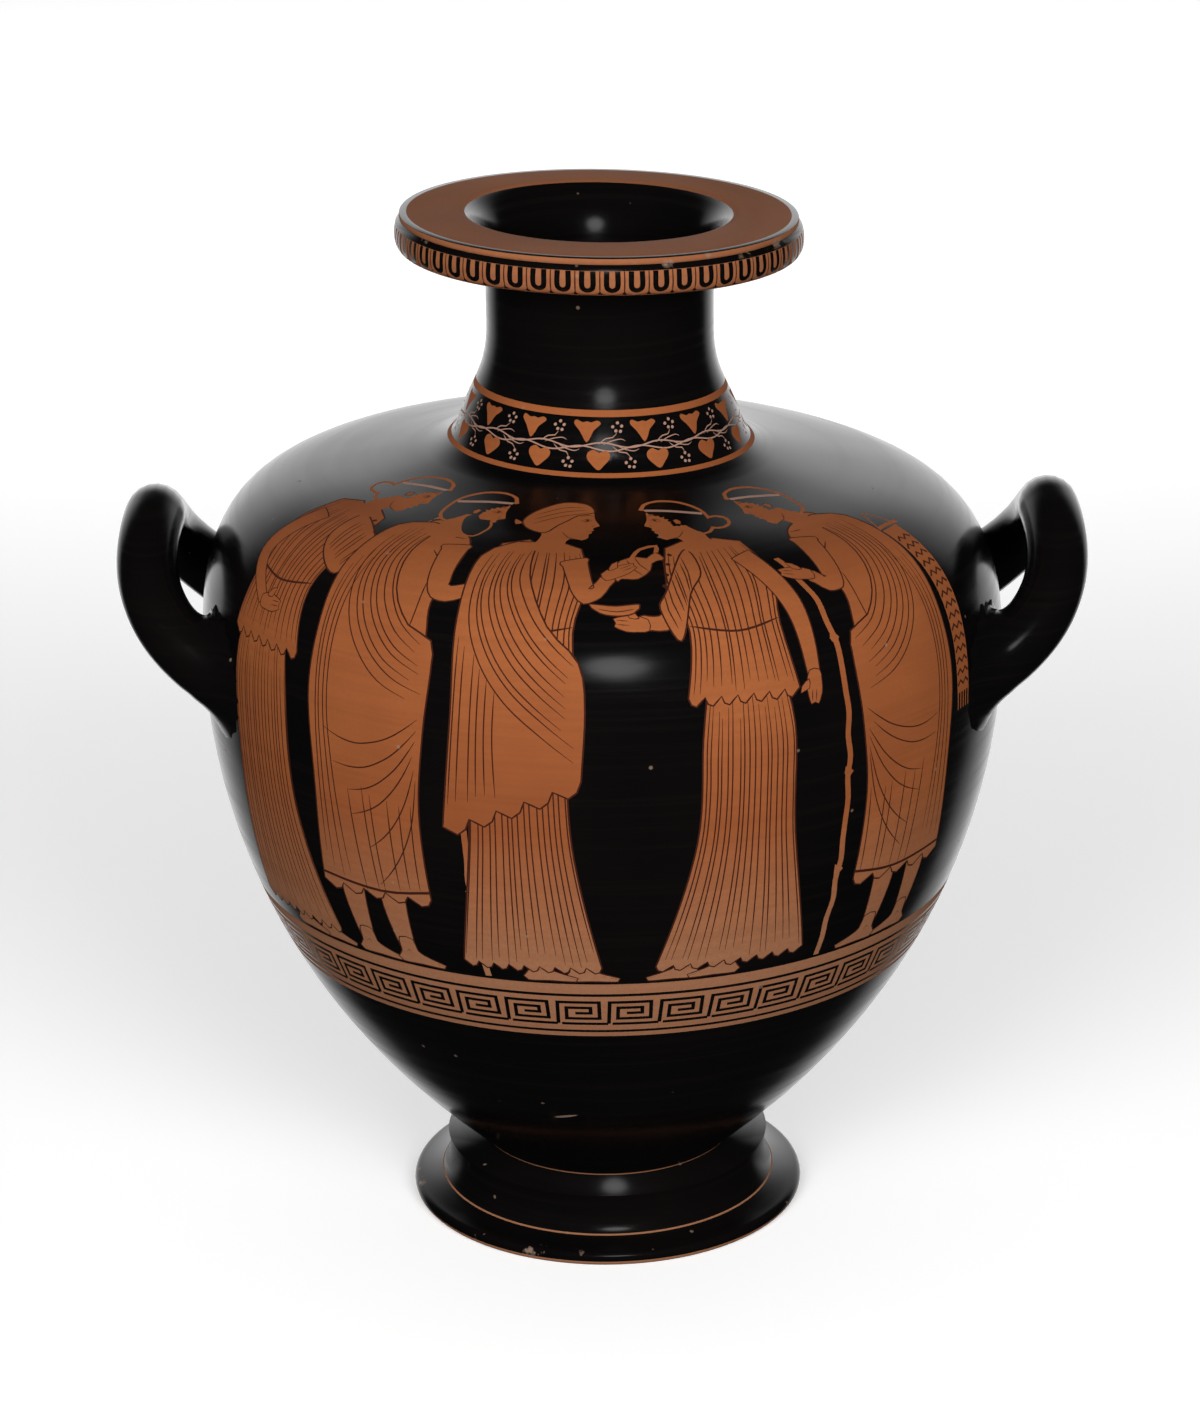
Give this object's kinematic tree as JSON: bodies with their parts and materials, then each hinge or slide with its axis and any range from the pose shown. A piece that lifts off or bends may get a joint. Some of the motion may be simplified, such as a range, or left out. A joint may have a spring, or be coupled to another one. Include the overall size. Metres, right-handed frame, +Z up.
{
  "type": "red-figure hydria",
  "caption": "Hollow ancient pottery water jar with a broad shoulder, flat mouth, disc foot, two side handles and a back handle, painted black with red figures.",
  "frame": {"origin": "centre of the resting ring, on the surface that the jar stands on", "axes": "+Z up along the jar's axis; the front, with the painted picture, faces -Y; the side handles lie along X and the back handle on +Y"},
  "size_m": [0.3758, 0.316, 0.412],
  "materials": {
    "glazed_clay": "glossy black slip on fired orange clay, with the figures, mouth top and ornament bands left in orange clay"
  },
  "bodies": {
    "root": {"hydria": "glazed_clay"}
  },
  "joints": []
}
